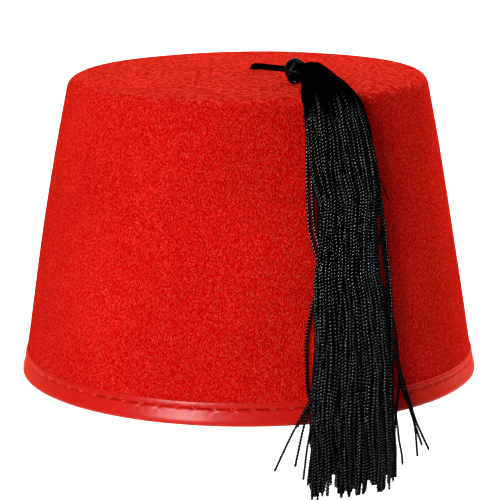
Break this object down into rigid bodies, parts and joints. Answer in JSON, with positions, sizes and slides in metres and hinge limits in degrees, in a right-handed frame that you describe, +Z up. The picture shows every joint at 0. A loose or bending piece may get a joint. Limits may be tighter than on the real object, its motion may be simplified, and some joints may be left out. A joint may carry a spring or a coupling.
{
  "type": "fez hat",
  "caption": "Flat-topped felt fez, tapered and hollow, with a satin ribbon folded over its rim and a long black tassel on a short cord from the middle of the crown, draped over the edge.",
  "frame": {"origin": "centre of the rim's opening, in the plane of its edge, where a head goes in", "axes": "+Z up through the crown, front towards -Y, +X to the right of the picture"},
  "size_m": [0.187, 0.1897, 0.159],
  "materials": {
    "red_felt": "pressed wool felt, matt and slightly fuzzy",
    "red_satin": "satin ribbon, glossy",
    "black_rayon": "twisted rayon cord with a soft shine"
  },
  "bodies": {
    "root": {"felt_crown": "red_felt", "rim_binding": "red_satin", "tassel_cord": "black_rayon", "tassel": "black_rayon"}
  },
  "joints": []
}
